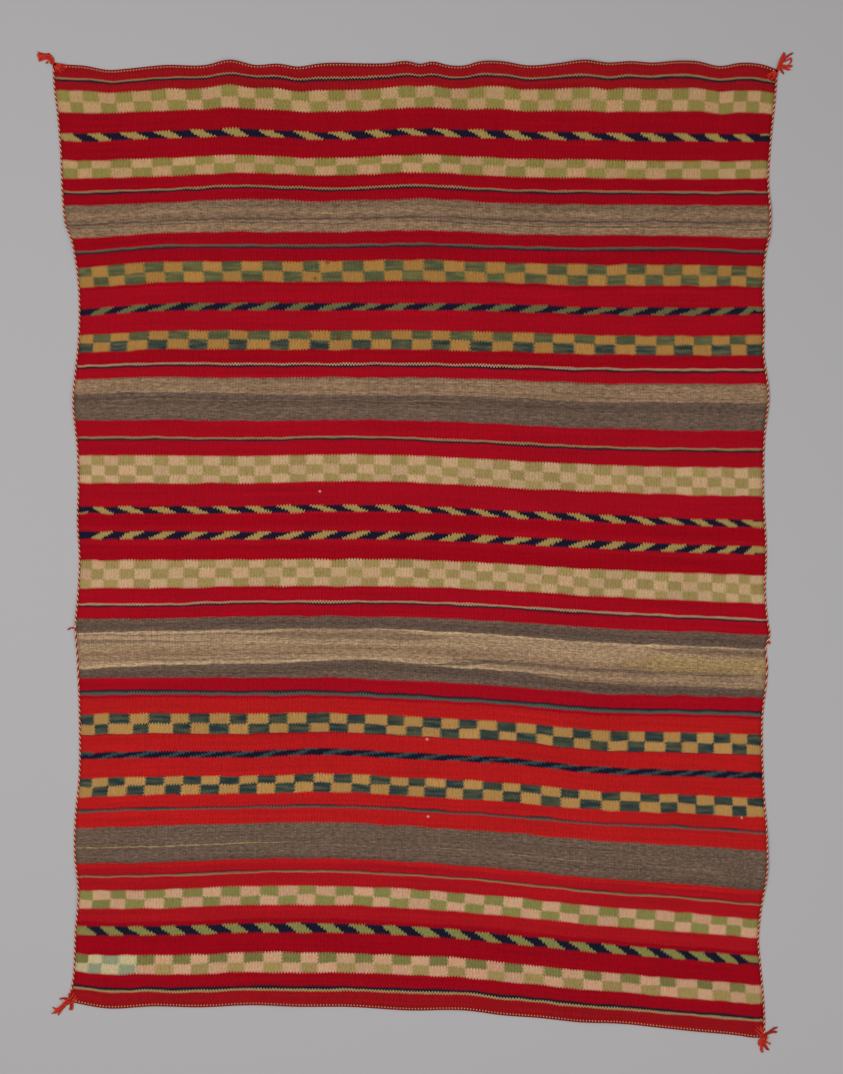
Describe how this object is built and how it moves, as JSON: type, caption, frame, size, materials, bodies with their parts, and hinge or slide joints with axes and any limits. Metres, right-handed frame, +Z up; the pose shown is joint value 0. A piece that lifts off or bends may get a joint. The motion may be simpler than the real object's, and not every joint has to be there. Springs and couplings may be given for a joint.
{
  "type": "serape",
  "caption": "Hand-woven banded wool blanket lying flat, with twisted edge cords and a small yarn tassel at each corner.",
  "frame": {"origin": "under the middle of the whole outline, on the surface that the blanket lies on", "axes": "+X across the cloth to the right selvage, +Y along the warp to the top heading, +Z up out of the face"},
  "size_m": [1.4432, 1.9044, 0.0062],
  "materials": {
    "cloth": "matt weft-faced tapestry weave in wool, banded in reds, greys, creams, greens and blues",
    "side_cord": "matt three-ply twist of red and gold wool",
    "end_cord": "matt twisted red wool",
    "tassel": "matt loose yarn ends in orange-red wool"
  },
  "bodies": {
    "root": {"cloth": "cloth", "side_cord_left": "side_cord", "side_cord_right": "side_cord", "end_cord_top": "end_cord", "end_cord_bottom": "end_cord", "tassel_top_left": "tassel", "tassel_top_right": "tassel", "tassel_bottom_left": "tassel", "tassel_bottom_right": "tassel", "mend_tail_left": "tassel", "mend_knot_right": "tassel"}
  },
  "joints": []
}
